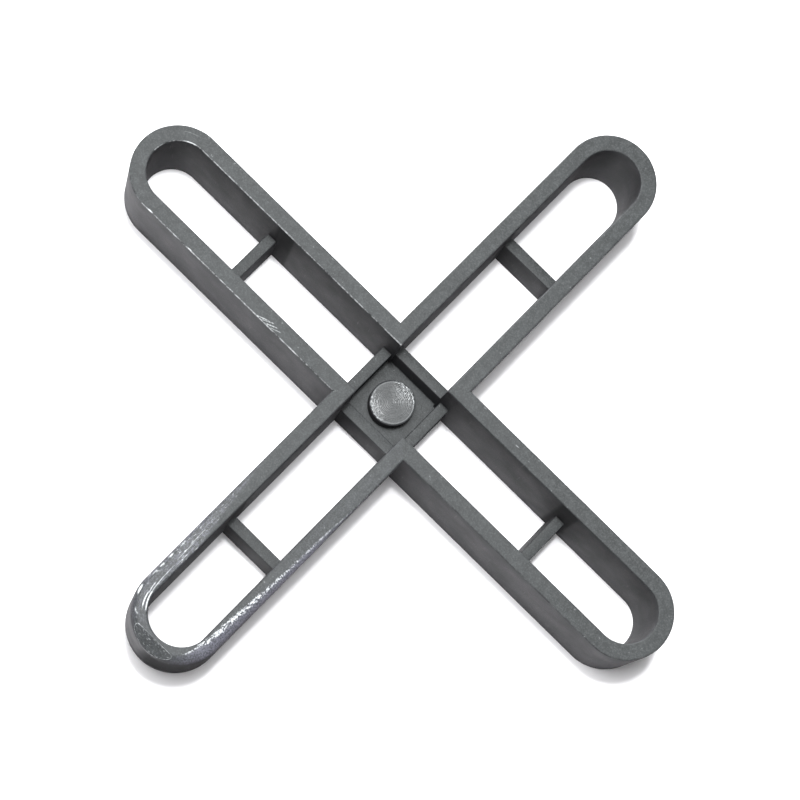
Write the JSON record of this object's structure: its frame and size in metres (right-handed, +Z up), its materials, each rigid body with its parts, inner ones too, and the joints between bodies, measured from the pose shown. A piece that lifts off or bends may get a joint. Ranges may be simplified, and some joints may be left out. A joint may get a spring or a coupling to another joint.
{
  "type": "tile spacer",
  "caption": "Grey plastic cross spacer for floor tiles, with hollow round-ended arms, low crossbars and a round boss in its hub, which sets the joint between tile corners.",
  "frame": {"origin": "middle of the flat base that stands on the floor, below the middle of the hub", "axes": "+X and +Y along two neighbouring arms, +Z up through the hub, away from the base"},
  "size_m": [0.073, 0.073, 0.01],
  "materials": {
    "grey_plastic": "fine speckled grain, slightly shiny, with scuffed and worn edges"
  },
  "bodies": {
    "root": {"tile_spacer": "grey_plastic"}
  },
  "joints": []
}
